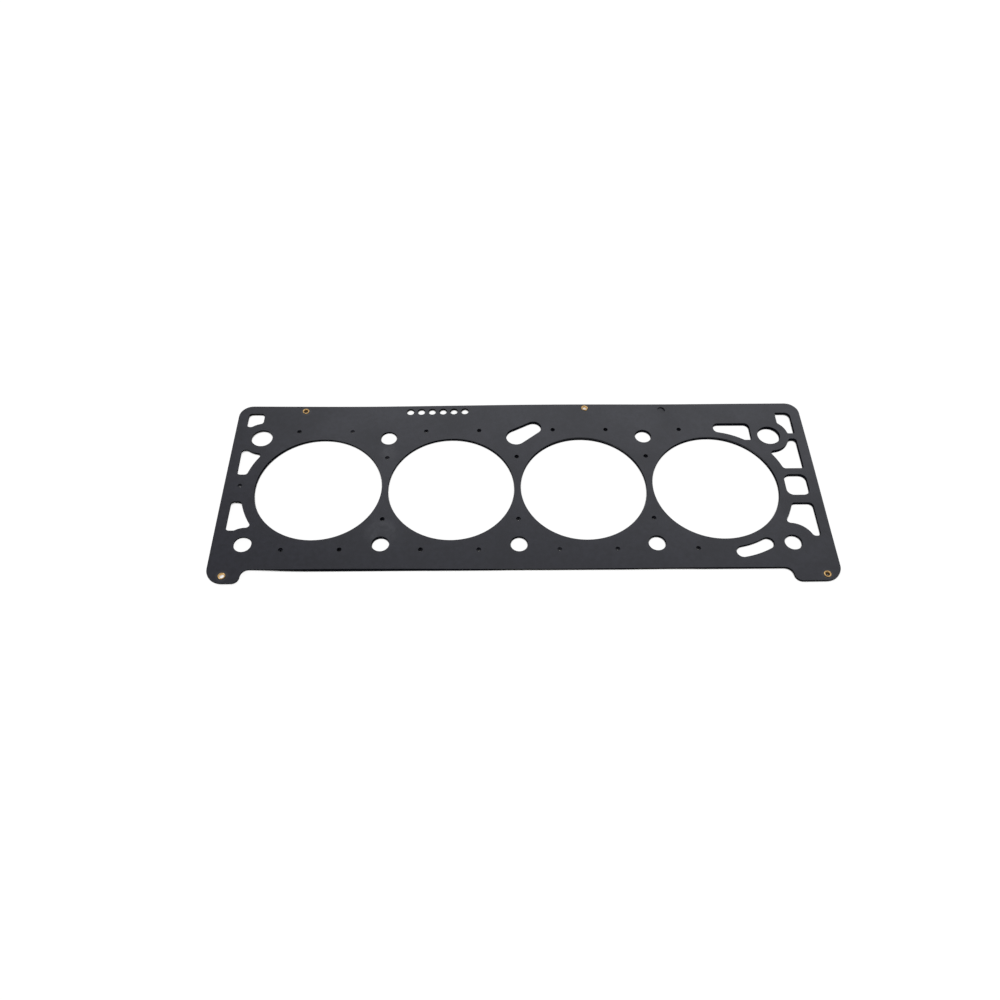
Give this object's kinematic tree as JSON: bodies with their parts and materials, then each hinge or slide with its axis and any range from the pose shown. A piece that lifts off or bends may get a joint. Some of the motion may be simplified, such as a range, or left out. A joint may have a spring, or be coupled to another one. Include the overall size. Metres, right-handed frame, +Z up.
{
  "type": "cylinder head gasket",
  "caption": "Layered steel cylinder head gasket with bores in a row, bolt and dowel holes, oil and coolant ports, code holes and brass eyelets.",
  "frame": {"origin": "middle of the bore row, on the underside that lies on the cylinder block", "axes": "+X along the bore row, towards the end with the wider margin and the square port; +Y across the bores, towards the long straight rear edge with the code holes; +Z up, towards the cylinder head"},
  "size_m": [0.3862, 0.1425, 0.0029],
  "materials": {
    "coated_steel": "dark grey elastomer coating, satin",
    "eyelet_brass": "pressed brass, worn satin"
  },
  "bodies": {
    "root": {"bottom_sheet": "coated_steel", "beaded_sheet": "coated_steel", "top_sheet": "coated_steel", "eyelet_rear_left": "eyelet_brass", "eyelet_rear_middle": "eyelet_brass", "eyelet_front_left": "eyelet_brass", "eyelet_front_right": "eyelet_brass"}
  },
  "joints": []
}
